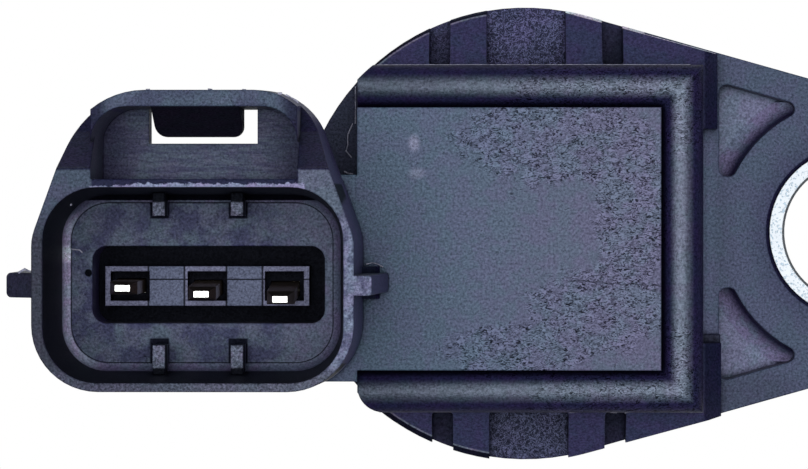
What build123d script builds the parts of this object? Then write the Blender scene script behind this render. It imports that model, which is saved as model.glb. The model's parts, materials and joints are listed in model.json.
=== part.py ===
from build123d import *
from math import radians, sqrt, tan
import os

os.makedirs("parts", exist_ok=True)

# Millimetres. The origin is on the probe's axis at the flange's seat face. +Z points away from the
# engine, out of the bolt hole and the connector's mouth, and +X points from the probe to the bolt hole.

# Heights above the seat face
flange_top = 6.0
roof_foot = 8.4
bead_foot = 9.62
plateau_top = 11.0
rim_top = 21.5
cavity_floor = 13.6
moat_floor = 9.0
latch_floor = 13.5
connector_underside = 4.5

# Flange and ear
disc_radius = 11.48
flange_offset_y = -0.08
mould_shift = 0.1
mould_inset = 0.03
ear_radius = 6.95
bolt_offset = 16.65
seat_edge_chamfer = 0.3

# Compression bush and its hole
bolt_hole_radius = 3.5
bush_wall = 0.75
bush_proud = 0.15
bush_edge_chamfer = 0.12
bush_clearance = 0.03
bush_hole_chamfer = 0.15

# Weight-saving pockets in the ear, one each side of the boss round the bush
ear_pocket_inner_x = 9.84
ear_pocket_end_y = 2.82
ear_pocket_rim = 1.4
ear_boss_radius = 6.68
ear_pocket_depth = 1.35
ear_pocket_corner = 0.4
ear_pocket_draft = 2.0
ear_boss_flare = 1.4

# Head: a flat plateau with a half-round bead round three of its sides
# (values that differ between the sides are keyed 1 towards +Y and -1 towards -Y)
head_centre_y = -0.32
head_left_x = -8.38
head_right_x = 6.76
plateau_half_width = 6.55
bead_width = 2.15
bead_end_round = 1.35
roof_right_x = {1: 9.7, -1: 9.9}
roof_notch_high_y = 5.2
roof_notch_low_y = -5.59
roof_pad_end_y = -5.19
roof_pad_height = 0.4
roof_slope = 0.8
roof_slope_right = 1.1

# Recesses cored into the roof at both sides of the head
recess_centre_x = {1: 0.06, -1: 0.2}
slot_offset = 4.36
slot_width = 1.06
side_pocket_width = 4.0
side_pocket_floor = 5.6
slot_floor = 5.3
recess_corner = 0.22

# Neck between head and connector
neck_low_y = -7.43
neck_high_y = 2.88

# Connector shroud, about its own centre line
connector_x = -15.97
shroud_half_width = 7.72
shroud_low_y = -7.58
shroud_high_y = 6.88
shoulder_y = -0.2
hat_half_width = 5.15
shroud_corner = 3.2
hat_left_corner = 4.1
hat_right_corner = 3.2
shoulder_corner = 2.5
outer_draft = 1.0

# Mating cavity
cavity_x = -15.95
cavity_width = 14.42
cavity_low_y = -7.16
cavity_high_y = 2.23
cavity_corner = 2.6
cavity_draft = 2.8
cavity_floor_round = 0.48

# Key ribs on the cavity's long walls
key_rib_x = (-17.92, -14.1)
key_rib_width = 0.6
key_rib_top = 16.3
key_rib_high_y = 0.84
key_rib_low_y = -5.48

# Moat round the island that carries the pins
pin_row_y = -2.67
moat_centre_x = -15.63
moat_centre_y = -2.56
moat_length = 11.48
moat_width = 3.82
moat_corner = 0.7

# Latch pocket, bridge and nib
latch_x = -15.9
latch_half_width = 4.95
latch_low_y = 2.6
bridge_wall = 0.78
latch_corner = 1.7
latch_plate = 2.0
latch_hole_half_width = 2.68
latch_hole_low_y = 4.4
nib_half_width = 2.12
nib_reach = 1.41
nib_low_z = 15.3
nib_high_z = 16.2
nib_top_z = 20.6
nib_corner = 0.5
wing_low_y = 3.14
wing_drop = 3.1
wing_ramp_angle = 60.0
wing_tail_angle = 48.0

# Ribs on the shroud's two ends
side_rib_y = -2.49
side_rib_width = 1.2
side_rib_reach = 1.4
side_rib_corner = 0.25
side_rib_low_z = 11.5
side_rib_fall = 0.9
right_rib_width = 0.95
right_rib_reach = 0.85
right_rib_foot_reach = 1.5
right_rib_foot_width = 1.6
right_rib_foot_rise = 4.0
right_rib_foot_corner = 0.4
right_rib_corner = 0.15
rib_root = 1.0

# Probe
probe_radius = 8.9
probe_length = 24.0
lower_land_end = 14.0
nose_radius = 7.8
nose_tip_chamfer = 0.8
groove_start = 3.2
groove_width = 3.1
groove_depth = 1.95
nose_wall = 1.55

# O-ring
ring_section_radius = 1.2
ring_section_sides = 12
ring_clearance = 0.05

# Pre-moulded carrier with the island, the slab under the neck and the stem in the probe
mould_clearance = 0.05
slab_thickness = 2.6
slab_left_x = -21.4
slab_right_x = 5.0
slab_low_y = -6.0
slab_high_y = 0.7
slab_head_left_x = -5.5
slab_head_half_width = 3.6
stem_radius = 5.6
island_length = 10.18
island_width = 1.97
island_top = 10.8
window_length = 1.95
window_width = 1.47
window_depth = 1.3

# Terminals: one bent strip each, from the pin's tip to the circuit board
pin_pitch = 3.85
middle_pin_x = -15.86
pin_width = 1.35
strip_thickness = 0.64
strip_width = 1.2
pin_top = 16.2
pin_point_length = 1.0
pin_point_width = 0.75
pin_point_thickness = 0.32
pin_tip_offset_y = (0.03, 0.32, 0.57)
strip_level = 7.6
neck_lanes = (-4.9, -0.44, pin_row_y)
head_lane_pitch = 2.4
lane_change_start_x = -5.0
lane_change_end_x = -1.2
terminal_board_overlap = 4.0
slot_clearance = 0.05

# Circuit board in the stem, on edge beside the probe's axis
board_face_x = 3.0
board_thickness = 0.8
board_width = 8.0
board_length = 11.0
board_above_magnet = 0.95
tray_above_board = 1.0
lead_channel_half_width = 2.2

# Sensing chip, its legs and the bias magnet behind it
chip_length = 5.0
chip_depth = 4.0
chip_height = 1.5
chip_above_tip = 0.4
chip_offset_x = -0.2
chip_edge_chamfer = 0.2
leg_pitch = 1.27
leg_width = 0.5
leg_thickness = 0.4
leg_board_overlap = 2.0
magnet_radius = 2.8
magnet_length = 6.0
magnet_edge_chamfer = 0.3
part_clearance = 0.05

# Small parts on the board: length, width and height, drop below the board's top edge, place across
capacitor_size = (1.25, 2.0, 1.0)
capacitor_drop = 5.9
capacitor_offsets = (-2.4, 0.0, 2.4)
resistor_size = (0.8, 1.6, 0.5)
resistor_drop = 7.8
resistor_offsets = (-2.6, 2.6)
component_edge_chamfer = 0.12

# Solder joints at the strips' and legs' ends
solder_length = 0.6
solder_height = 0.5


# Shared values worked out from the driving ones
bush_radius = bolt_hole_radius + bush_wall
bead_radius = bead_width / 2
bead_outer_half_width = plateau_half_width + bead_width
bead_right_x = head_right_x + bead_width
bead_foot_y = {side: head_centre_y + side * bead_outer_half_width for side in (1, -1)}
groove_root_radius = probe_radius - groove_depth
stem_tip = -(probe_length - nose_wall) + mould_clearance
slab_top = moat_floor - mould_clearance
slab_bottom = slab_top - slab_thickness
bridge_inner_y = shroud_high_y - bridge_wall
wing_knee_y = wing_low_y + wing_drop / tan(radians(wing_ramp_angle))
pin_xs = [middle_pin_x + pin_pitch * step for step in (-1, 0, 1)]
head_lanes = (-head_lane_pitch, head_lane_pitch, 0.0)
strip_face_x = board_face_x + part_clearance
chip_low_z = stem_tip + chip_above_tip
chip_high_z = chip_low_z + chip_height
magnet_low_z = chip_high_z + part_clearance
magnet_high_z = magnet_low_z + magnet_length
board_low_z = magnet_high_z + board_above_magnet
board_high_z = board_low_z + board_length
tray_high_z = board_high_z + tray_above_board
terminal_drop_end = board_high_z - terminal_board_overlap
leg_top = board_low_z + leg_board_overlap


def flange_outline(inset=0.0):
    """The disc and the ear joined by their two common tangents, a little low of the bore."""
    disc = disc_radius - inset
    ear = ear_radius - inset
    lean = (disc - ear) / bolt_offset
    across = sqrt(1 - lean**2)
    with BuildSketch() as outline:
        Circle(disc)
        with Locations((bolt_offset, 0)):
            Circle(ear)
        with BuildLine():
            Polyline(
                (disc * lean, disc * across),
                (bolt_offset + ear * lean, ear * across),
                (bolt_offset + ear * lean, -ear * across),
                (disc * lean, -disc * across),
                close=True,
            )
        make_face()
    return outline.sketch.moved(Location((0, flange_offset_y, 0)))


def upper_outline():
    """The upper mould half's outline, which sits a little off the flange's."""
    return flange_outline(mould_inset).moved(Location((0, -mould_shift, 0)))


def head_outline():
    """What the bead is cut to: the upper outline, filled out round the bead's lower end."""
    with BuildSketch() as outline:
        add(upper_outline())
        with Locations((head_left_x + bead_end_round, bead_foot_y[-1] + bead_end_round)):
            Circle(bead_end_round)
    return outline.sketch


def shroud_outline():
    """The hat-shaped outline of the connector at its rim."""
    with BuildSketch() as outline:
        with BuildLine():
            FilletPolyline(
                (connector_x + shroud_half_width, shroud_low_y),
                (connector_x + shroud_half_width, shoulder_y),
                (connector_x + hat_half_width, shroud_high_y),
                (connector_x - hat_half_width, shroud_high_y),
                (connector_x - shroud_half_width, shoulder_y),
                (connector_x - shroud_half_width, shroud_low_y),
                radius=(
                    shroud_corner,
                    shoulder_corner,
                    hat_right_corner,
                    hat_left_corner,
                    shoulder_corner,
                    shroud_corner,
                ),
                close=True,
            )
        make_face()
    return outline.sketch


def rectangle_between(low_x, low_y, high_x, high_y, mode=Mode.ADD):
    """A rectangle given by its corners, for use inside a sketch."""
    with Locations(((low_x + high_x) / 2, (low_y + high_y) / 2)):
        Rectangle(abs(high_x - low_x), abs(high_y - low_y), mode=mode)


def ear_pocket():
    """The three-cornered pocket above the ear's centre line, hollowed round on the boss's side."""
    with BuildPart() as pocket:
        with BuildSketch(Plane.XY.offset(flange_top)) as outline:
            add(flange_outline(ear_pocket_rim))
            rectangle_between(
                ear_pocket_inner_x, ear_pocket_end_y, bolt_offset, disc_radius, Mode.INTERSECT
            )
            with Locations((bolt_offset, 0)):
                Circle(ear_boss_radius, mode=Mode.SUBTRACT)
            fillet(outline.vertices(), ear_pocket_corner)
        extrude(amount=-ear_pocket_depth, taper=ear_pocket_draft)
        with BuildSketch(Plane.XZ):
            rectangle_between(
                bolt_offset + ear_boss_radius - ear_boss_flare,
                flange_top - 2 * ear_pocket_depth,
                bolt_offset + ear_boss_radius + ear_boss_flare,
                flange_top,
            )
            with Locations((bolt_offset + ear_boss_radius + ear_boss_flare, flange_top)):
                Circle(ear_boss_flare, mode=Mode.SUBTRACT)
        revolve(axis=Axis((bolt_offset, 0, 0), (0, 0, 1)), mode=Mode.SUBTRACT)
    return pocket.part


def roof():
    """The roof over the disc: level at the bead's foot, then falling away on three sides."""
    with BuildPart() as roof_part:
        with BuildSketch(Plane.XY.offset(flange_top)):
            for side, right_x in roof_right_x.items():
                rectangle_between(head_left_x, 0, right_x, side * 2 * disc_radius)
            add(upper_outline(), mode=Mode.INTERSECT)
            rectangle_between(
                bead_right_x, roof_notch_low_y, bolt_offset, roof_notch_high_y, Mode.SUBTRACT
            )
        extrude(amount=roof_foot - flange_top)
        for side, foot_y in bead_foot_y.items():
            with BuildSketch(Plane.YZ.offset(head_left_x)):
                with BuildLine():
                    Polyline(
                        (foot_y, roof_foot),
                        (foot_y + side * disc_radius, roof_foot - roof_slope * disc_radius),
                        (foot_y + side * disc_radius, roof_foot),
                        close=True,
                    )
                make_face()
            extrude(amount=bolt_offset - head_left_x, mode=Mode.SUBTRACT)
        with BuildSketch(Plane.XZ.offset(-2 * disc_radius)):
            with BuildLine():
                Polyline(
                    (bead_right_x, roof_foot),
                    (bolt_offset, roof_foot),
                    (bolt_offset, roof_foot - roof_slope_right * (bolt_offset - bead_right_x)),
                    close=True,
                )
            make_face()
        extrude(amount=4 * disc_radius, mode=Mode.SUBTRACT)
        with BuildSketch(Plane.XY.offset(flange_top)):
            rectangle_between(
                bead_right_x, roof_notch_low_y, roof_right_x[-1], roof_pad_end_y
            )
        extrude(amount=roof_pad_height)
    return roof_part.part


def connector_body():
    """The connector's outside, drafted from its rim, with nothing below the latch's plate."""
    plate_bottom = latch_floor - latch_plate
    with BuildPart() as connector:
        with BuildSketch(Plane.XY.offset(rim_top)):
            add(shroud_outline())
        extrude(amount=connector_underside - rim_top, taper=-outer_draft)
        with BuildSketch(Plane.XY.offset(connector_underside)):
            rectangle_between(
                connector_x - 2 * shroud_half_width,
                latch_low_y,
                connector_x + 2 * shroud_half_width,
                2 * shroud_high_y,
            )
        extrude(amount=plate_bottom - connector_underside, mode=Mode.SUBTRACT)
    return connector.part


def mating_cavity():
    """The connector's hollow: drafted walls with a rounded floor."""
    with BuildPart() as cavity:
        with BuildSketch(Plane.XY.offset(rim_top)):
            with Locations((cavity_x, (cavity_low_y + cavity_high_y) / 2)):
                RectangleRounded(cavity_width, cavity_high_y - cavity_low_y, cavity_corner)
        extrude(amount=-(rim_top - cavity_floor), taper=cavity_draft)
        fillet(cavity.faces().sort_by(Axis.Z)[0].edges(), cavity_floor_round)
    return cavity.part


def latch_pocket():
    """The pocket behind the bridge, with the window through its floor below the nib."""
    with BuildPart() as pocket:
        with BuildSketch(Plane.XY.offset(latch_floor)) as outline:
            rectangle_between(
                latch_x - latch_half_width,
                latch_low_y,
                latch_x + latch_half_width,
                bridge_inner_y,
            )
            fillet(outline.vertices().group_by(Axis.Y)[-1], latch_corner)
        extrude(amount=rim_top - latch_floor)
        with BuildSketch(Plane.XY.offset(latch_floor)):
            rectangle_between(
                latch_x - latch_hole_half_width,
                latch_hole_low_y,
                latch_x + latch_hole_half_width,
                bridge_inner_y,
            )
        extrude(amount=-latch_plate)
    return pocket.part


def latch_nib():
    """The nib under the bridge that a plug's latch snaps behind, with its lead-in ramp."""
    with BuildPart() as nib:
        with BuildSketch(Plane.XY.offset(nib_low_z)) as outline:
            rectangle_between(
                latch_x - nib_half_width,
                bridge_inner_y - nib_reach,
                latch_x + nib_half_width,
                bridge_inner_y,
            )
            fillet(outline.vertices().group_by(Axis.Y)[0], nib_corner)
        extrude(amount=nib_top_z - nib_low_z)
        with BuildSketch(Plane.YZ.offset(latch_x)):
            with BuildLine():
                Polyline(
                    (bridge_inner_y - nib_reach, nib_high_z),
                    (bridge_inner_y, nib_top_z),
                    (bridge_inner_y - nib_reach, nib_top_z),
                    close=True,
                )
            make_face()
        extrude(amount=nib_half_width, both=True, mode=Mode.SUBTRACT)
    return nib.part


def bead():
    """The half-round bead along three sides of the plateau, with square mitred corners."""
    high_y = head_centre_y + plateau_half_width + bead_radius
    low_y = head_centre_y - plateau_half_width - bead_radius
    with BuildPart() as bead_part:
        with BuildLine(Plane.XY.offset(bead_foot)) as run:
            Polyline(
                (head_left_x, high_y),
                (head_right_x + bead_radius, high_y),
                (head_right_x + bead_radius, low_y),
                (head_left_x, low_y),
            )
        with BuildSketch(Plane.YZ.offset(head_left_x)):
            with Locations((high_y, bead_foot)):
                Circle(bead_radius)
        sweep(path=run.wires()[0], transition=Transition.RIGHT)
        with BuildSketch(Plane.XY.offset(bead_foot)):
            add(head_outline())
        extrude(amount=bead_width, mode=Mode.INTERSECT)
    return bead_part.part


def left_rib():
    """The rib on the shroud's outer end, with a sloping top and rounded outer corners."""
    edge_x = connector_x - shroud_half_width
    outer_x = edge_x - side_rib_reach
    rib_high_z = rim_top - side_rib_fall
    with BuildPart() as rib:
        with BuildSketch(Plane.XZ.offset(-side_rib_y)):
            with BuildLine():
                Polyline(
                    (edge_x + rib_root, side_rib_low_z),
                    (outer_x, side_rib_low_z),
                    (outer_x, rib_high_z - side_rib_reach),
                    (edge_x, rib_high_z),
                    (edge_x + rib_root, rib_high_z),
                    close=True,
                )
            make_face()
        extrude(amount=side_rib_width / 2, both=True)
        fillet(rib.faces().sort_by(Axis.X)[0].edges().filter_by(Axis.Z), side_rib_corner)
    return rib.part


def right_rib():
    """The rib between shroud and plateau: a narrow blade with a wider foot, both leaning in."""
    edge_x = connector_x + shroud_half_width
    low_z = plateau_top - rib_root
    with BuildPart() as rib:
        with BuildSketch(Plane.XZ.offset(-side_rib_y)):
            with BuildLine():
                Polyline(
                    (edge_x - rib_root, low_z),
                    (edge_x + right_rib_foot_reach, low_z),
                    (edge_x + right_rib_reach, rim_top),
                    (edge_x - rib_root, rim_top),
                    close=True,
                )
            make_face()
        extrude(amount=right_rib_width / 2, both=True)
        blade_front = rib.faces().sort_by(Axis.X)[-1]
        fillet(blade_front.edges().filter_by(Axis.Y, reverse=True), right_rib_corner)
    with BuildPart() as foot:
        with BuildSketch(Plane.XZ.offset(-side_rib_y)):
            with BuildLine():
                Polyline(
                    (edge_x - rib_root, low_z),
                    (edge_x + right_rib_foot_reach, low_z),
                    (edge_x - rib_root, plateau_top + right_rib_foot_rise),
                    close=True,
                )
            make_face()
        extrude(amount=right_rib_foot_width / 2, both=True)
        foot_front = foot.faces().sort_by(Axis.X)[-1]
        fillet(foot_front.edges().filter_by(Axis.Y, reverse=True), right_rib_foot_corner)
    return rib.part + foot.part


def carrier_envelope(grow=0.0):
    """The carrier's outside: slab, island and stem, grown evenly for the housing's hollow."""
    with BuildPart() as envelope:
        with BuildSketch(Plane.XY.offset(slab_bottom - grow)):
            rectangle_between(
                slab_left_x - grow, slab_low_y - grow, slab_right_x + grow, slab_high_y + grow
            )
            rectangle_between(
                slab_head_left_x - grow,
                -slab_head_half_width - grow,
                slab_right_x + grow,
                slab_head_half_width + grow,
            )
        extrude(amount=slab_thickness + 2 * grow)
        with BuildSketch(Plane.XY.offset(slab_top + grow)):
            Circle(stem_radius + grow)
        extrude(amount=stem_tip - slab_top - 2 * grow)
    return envelope.part


def terminal(index, grow=0.0):
    """One terminal: pin, flat run under the neck and drop to the board, grown for its slot."""
    pin_x = pin_xs[index]
    neck_y = neck_lanes[index]
    head_y = head_lanes[index]
    drop_x = strip_face_x + strip_thickness / 2
    half_strip = strip_thickness / 2
    tip_offset = pin_tip_offset_y[index]
    point_start = pin_top - pin_point_length
    start_share = (point_start - strip_level) / (pin_top - strip_level)
    with BuildPart() as strip:
        with BuildSketch(Plane.XY.offset(strip_level - half_strip - grow)):
            with BuildLine():
                if neck_y == pin_row_y:
                    Polyline(
                        (pin_x - grow, pin_row_y),
                        (lane_change_start_x, neck_y),
                        (lane_change_end_x, head_y),
                        (drop_x, head_y),
                    )
                else:
                    Polyline(
                        (pin_x, pin_row_y),
                        (pin_x, neck_y),
                        (lane_change_start_x, neck_y),
                        (lane_change_end_x, head_y),
                        (drop_x, head_y),
                    )
            trace(line_width=strip_width + 2 * grow)
        extrude(amount=strip_thickness + 2 * grow)
        with BuildSketch(Plane.XY.offset(strip_level - half_strip - grow)):
            with Locations((pin_x, pin_row_y)):
                Rectangle(pin_width + 2 * grow, strip_thickness + 2 * grow)
        with BuildSketch(Plane.XY.offset(point_start)):
            with Locations((pin_x, pin_row_y - tip_offset * start_share)):
                Rectangle(pin_width + 2 * grow, strip_thickness + 2 * grow)
        loft(ruled=True)
        with BuildSketch(Plane.XY.offset(point_start)):
            with Locations((pin_x, pin_row_y - tip_offset * start_share)):
                Rectangle(pin_width + 2 * grow, strip_thickness + 2 * grow)
        with BuildSketch(Plane.XY.offset(pin_top)):
            with Locations((pin_x, pin_row_y - tip_offset)):
                Rectangle(pin_point_width + 2 * grow, pin_point_thickness + 2 * grow)
        loft(ruled=True)
        with BuildSketch(Plane.XY.offset(strip_level + half_strip + grow)):
            with Locations((drop_x, head_y)):
                Rectangle(strip_thickness + 2 * grow, strip_width + 2 * grow)
        extrude(amount=terminal_drop_end - strip_level - half_strip - 2 * grow)
    return strip.part


def chip_leg(index, grow=0.0):
    """One leg of the chip: out of its side, then up the board's face."""
    leg_y = (index - 1) * leg_pitch
    level = (chip_low_z + chip_high_z) / 2
    start_x = chip_offset_x + chip_depth / 2 + part_clearance
    with BuildPart() as leg:
        with BuildSketch(Plane.XZ.offset(-leg_y)):
            with BuildLine():
                Polyline(
                    (start_x - grow, level - leg_thickness / 2 - grow),
                    (strip_face_x + leg_thickness + grow, level - leg_thickness / 2 - grow),
                    (strip_face_x + leg_thickness + grow, leg_top + grow),
                    (strip_face_x - grow, leg_top + grow),
                    (strip_face_x - grow, level + leg_thickness / 2 + grow),
                    (start_x - grow, level + leg_thickness / 2 + grow),
                    close=True,
                )
            make_face()
        extrude(amount=leg_width / 2 + grow, both=True)
    return leg.part


# Housing: one moulding from the connector's rim to the probe's tip
with BuildPart() as housing:
    # Flange plate with disc and ear
    with BuildSketch():
        add(flange_outline())
    extrude(amount=flange_top)
    chamfer(housing.faces().sort_by(Axis.Z)[0].edges(), seat_edge_chamfer)

    # Roof over the disc, with recesses from the bead's foot out through its edge
    add(roof())
    for side, foot_y in bead_foot_y.items():
        for offset, width, floor in (
            (0, side_pocket_width, side_pocket_floor),
            (-slot_offset, slot_width, slot_floor),
            (slot_offset, slot_width, slot_floor),
        ):
            with BuildSketch(Plane.XY.offset(floor)) as recess:
                with Locations((recess_centre_x[side] + offset, foot_y + side * disc_radius / 2)):
                    Rectangle(width, disc_radius)
                inner_corners = recess.vertices().group_by(Axis.Y)[0 if side > 0 else -1]
                fillet(inner_corners, recess_corner)
            extrude(amount=roof_foot - floor, mode=Mode.SUBTRACT)

    # Pockets in the ear
    add(ear_pocket(), mode=Mode.SUBTRACT)
    add(ear_pocket().mirror(Plane.XZ), mode=Mode.SUBTRACT)

    # Base of the bead
    with BuildSketch(Plane.XY.offset(flange_top)):
        add(head_outline())
        rectangle_between(
            head_left_x, bead_foot_y[-1], bead_right_x, bead_foot_y[1], Mode.INTERSECT
        )
    extrude(amount=bead_foot - flange_top)

    # Neck and plateau
    with BuildSketch(Plane.XY.offset(connector_underside)):
        rectangle_between(connector_x, neck_low_y, head_left_x, neck_high_y)
        rectangle_between(
            head_left_x,
            head_centre_y - plateau_half_width,
            head_right_x,
            head_centre_y + plateau_half_width,
        )
    extrude(amount=plateau_top - connector_underside)

    # Connector with the rib on each end
    add(connector_body())
    add(left_rib())
    add(right_rib())

    # Wings beside the bridge fall away towards the latch's side, first steeply
    wing_end_y = shroud_high_y + rib_root
    wing_end_z = rim_top - wing_drop - (wing_end_y - wing_knee_y) * tan(radians(wing_tail_angle))
    for side in (1, -1):
        with BuildSketch(Plane.YZ.offset(latch_x + side * latch_half_width)):
            with BuildLine():
                Polyline(
                    (wing_low_y, rim_top),
                    (wing_knee_y, rim_top - wing_drop),
                    (wing_end_y, wing_end_z),
                    (wing_end_y, rim_top),
                    close=True,
                )
            make_face()
        extrude(amount=side * shroud_half_width, mode=Mode.SUBTRACT)

    # Connector's hollows, ribs and nib
    add(latch_pocket(), mode=Mode.SUBTRACT)
    add(mating_cavity(), mode=Mode.SUBTRACT)
    with BuildSketch(Plane.XY.offset(cavity_floor)):
        for rib_x in key_rib_x:
            rectangle_between(
                rib_x - key_rib_width / 2,
                key_rib_high_y,
                rib_x + key_rib_width / 2,
                cavity_high_y,
            )
            rectangle_between(
                rib_x - key_rib_width / 2,
                cavity_low_y,
                rib_x + key_rib_width / 2,
                key_rib_low_y,
            )
    extrude(amount=key_rib_top - cavity_floor)
    with BuildSketch(Plane.XY.offset(cavity_floor)):
        with Locations((moat_centre_x, moat_centre_y)):
            RectangleRounded(moat_length, moat_width, moat_corner)
    extrude(amount=moat_floor - cavity_floor, mode=Mode.SUBTRACT)
    add(latch_nib())

    # Half-round bead, and the plateau that its inner edge runs along
    add(bead())

    # Probe with its O-ring groove, two lands and narrower nose
    with BuildSketch(Plane.XZ):
        with BuildLine():
            Polyline(
                (0, flange_top / 2),
                (probe_radius, flange_top / 2),
                (probe_radius, -groove_start),
                (groove_root_radius, -groove_start),
                (groove_root_radius, -groove_start - groove_width),
                (probe_radius, -groove_start - groove_width),
                (probe_radius, -lower_land_end),
                (nose_radius, -lower_land_end - (probe_radius - nose_radius)),
                (nose_radius, -probe_length + nose_tip_chamfer),
                (nose_radius - nose_tip_chamfer, -probe_length),
                (0, -probe_length),
                close=True,
            )
        make_face()
    revolve(axis=Axis.Z)

    # Hole for the bush, and the hollow that the carrier fills
    with Locations((bolt_offset, 0, flange_top)):
        CounterSinkHole(
            radius=bush_radius + bush_clearance,
            counter_sink_radius=bush_radius + bush_clearance + bush_hole_chamfer,
            counter_sink_angle=90,
        )
    add(carrier_envelope(mould_clearance), mode=Mode.SUBTRACT)

housing.part.label = "housing"
export_step(housing.part, "parts/housing.step")

# Compression bush: the steel ring that takes the bolt's clamping load
with BuildPart() as compression_bush:
    with BuildSketch():
        with Locations((bolt_offset, 0)):
            Circle(bush_radius)
            Circle(bolt_hole_radius, mode=Mode.SUBTRACT)
    extrude(amount=flange_top + bush_proud)
    chamfer(
        compression_bush.edges().filter_by(GeomType.CIRCLE).sort_by(SortBy.RADIUS)[:2],
        bush_edge_chamfer,
    )

compression_bush.part.label = "compression_bush"
export_step(compression_bush.part, "parts/compression_bush.step")

# O-ring in the probe's groove
with BuildPart() as o_ring:
    with BuildSketch(Plane.XZ):
        with Locations(
            (
                groove_root_radius + ring_clearance + ring_section_radius,
                -groove_start - groove_width / 2,
            )
        ):
            RegularPolygon(ring_section_radius, ring_section_sides)
    revolve(axis=Axis.Z)

o_ring.part.label = "o_ring"
export_step(o_ring.part, "parts/o_ring.step")

# Carrier: slab and stem, with the island whose windows frame the pins
with BuildPart() as terminal_carrier:
    add(carrier_envelope())
    with BuildSketch(Plane.XY.offset(slab_top)):
        with Locations((middle_pin_x, pin_row_y)):
            Rectangle(island_length, island_width)
    extrude(amount=island_top - slab_top)
    with BuildSketch(Plane.XY.offset(island_top)):
        for pin_x in pin_xs:
            with Locations((pin_x, pin_row_y)):
                Rectangle(window_length, window_width)
    extrude(amount=-window_depth, mode=Mode.SUBTRACT)

    # Tray for the board, with a narrower channel for the legs below it
    with BuildSketch(Plane.YZ.offset(board_face_x - board_thickness - part_clearance)):
        rectangle_between(
            -board_width / 2 - part_clearance,
            board_low_z - part_clearance,
            board_width / 2 + part_clearance,
            tray_high_z,
        )
    extrude(amount=stem_radius, mode=Mode.SUBTRACT)
    with BuildSketch(Plane.YZ.offset(board_face_x)):
        rectangle_between(
            -lead_channel_half_width, stem_tip, lead_channel_half_width, tray_high_z
        )
    extrude(amount=stem_radius, mode=Mode.SUBTRACT)

    # Bore for the magnet and seat for the chip, both open at the tip
    with BuildSketch(Plane.XY.offset(stem_tip)):
        Circle(magnet_radius + part_clearance)
    extrude(
        amount=magnet_high_z + part_clearance - stem_tip, mode=Mode.SUBTRACT
    )
    with BuildSketch(Plane.XY.offset(stem_tip)):
        with Locations((chip_offset_x, 0)):
            Rectangle(chip_depth + 2 * part_clearance, chip_length + 2 * part_clearance)
    extrude(amount=chip_high_z + part_clearance - stem_tip, mode=Mode.SUBTRACT)

    # Slots that the terminals and legs lie in
    for index in range(3):
        add(terminal(index, slot_clearance), mode=Mode.SUBTRACT)
        add(chip_leg(index, slot_clearance), mode=Mode.SUBTRACT)

terminal_carrier.part.label = "terminal_carrier"
export_step(terminal_carrier.part, "parts/terminal_carrier.step")

# Terminals
for index in range(3):
    strip = terminal(index)
    strip.label = f"terminal_{index + 1}"
    export_step(strip, f"parts/terminal_{index + 1}.step")

# Circuit board
with BuildPart() as circuit_board:
    with BuildSketch(Plane.YZ.offset(board_face_x)):
        rectangle_between(-board_width / 2, board_low_z, board_width / 2, board_high_z)
    extrude(amount=-board_thickness)

circuit_board.part.label = "circuit_board"
export_step(circuit_board.part, "parts/circuit_board.step")

# Sensing chip
with BuildPart() as hall_ic:
    with BuildSketch(Plane.XY.offset(chip_low_z)):
        with Locations((chip_offset_x, 0)):
            Rectangle(chip_depth, chip_length)
    extrude(amount=chip_height)
    chamfer(hall_ic.faces().sort_by(Axis.Z)[0].edges(), chip_edge_chamfer)

hall_ic.part.label = "hall_ic"
export_step(hall_ic.part, "parts/hall_ic.step")

# Legs of the chip
for index in range(3):
    leg = chip_leg(index)
    leg.label = f"hall_lead_{index + 1}"
    export_step(leg, f"parts/hall_lead_{index + 1}.step")

# Bias magnet
with BuildPart() as magnet:
    with BuildSketch(Plane.XY.offset(magnet_low_z)):
        Circle(magnet_radius)
    extrude(amount=magnet_length)
    chamfer(magnet.edges().filter_by(GeomType.CIRCLE), magnet_edge_chamfer)

magnet.part.label = "magnet"
export_step(magnet.part, "parts/magnet.step")


def board_component(level, across, length, width, height):
    """A small block soldered flat on the board's outer face."""
    with BuildPart() as block:
        with BuildSketch(Plane.YZ.offset(board_face_x + part_clearance)):
            with Locations((across, level)):
                Rectangle(width, length)
        extrude(amount=height)
        chamfer(block.faces().sort_by(Axis.X)[-1].edges(), component_edge_chamfer)
    return block.part


# Capacitors and resistors on the board
for number, across in enumerate(capacitor_offsets, 1):
    block = board_component(board_high_z - capacitor_drop, across, *capacitor_size)
    block.label = f"capacitor_{number}"
    export_step(block, f"parts/capacitor_{number}.step")
for number, across in enumerate(resistor_offsets, 1):
    block = board_component(board_high_z - resistor_drop, across, *resistor_size)
    block.label = f"resistor_{number}"
    export_step(block, f"parts/resistor_{number}.step")

# Solder joints at the ends of the terminals and legs
with BuildPart() as solder_joints:
    with BuildSketch(Plane.YZ.offset(strip_face_x)):
        for lane in head_lanes:
            with Locations((lane, terminal_drop_end - part_clearance - solder_length / 2)):
                Rectangle(strip_width, solder_length)
        for index in range(3):
            with Locations(
                ((index - 1) * leg_pitch, leg_top + part_clearance + solder_length / 2)
            ):
                Rectangle(leg_width, solder_length)
    extrude(amount=solder_height)

solder_joints.part.label = "solder_joints"
export_step(solder_joints.part, "parts/solder_joints.step")
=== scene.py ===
import bpy
import json
import math
import random
from mathutils import Matrix, Vector


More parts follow.
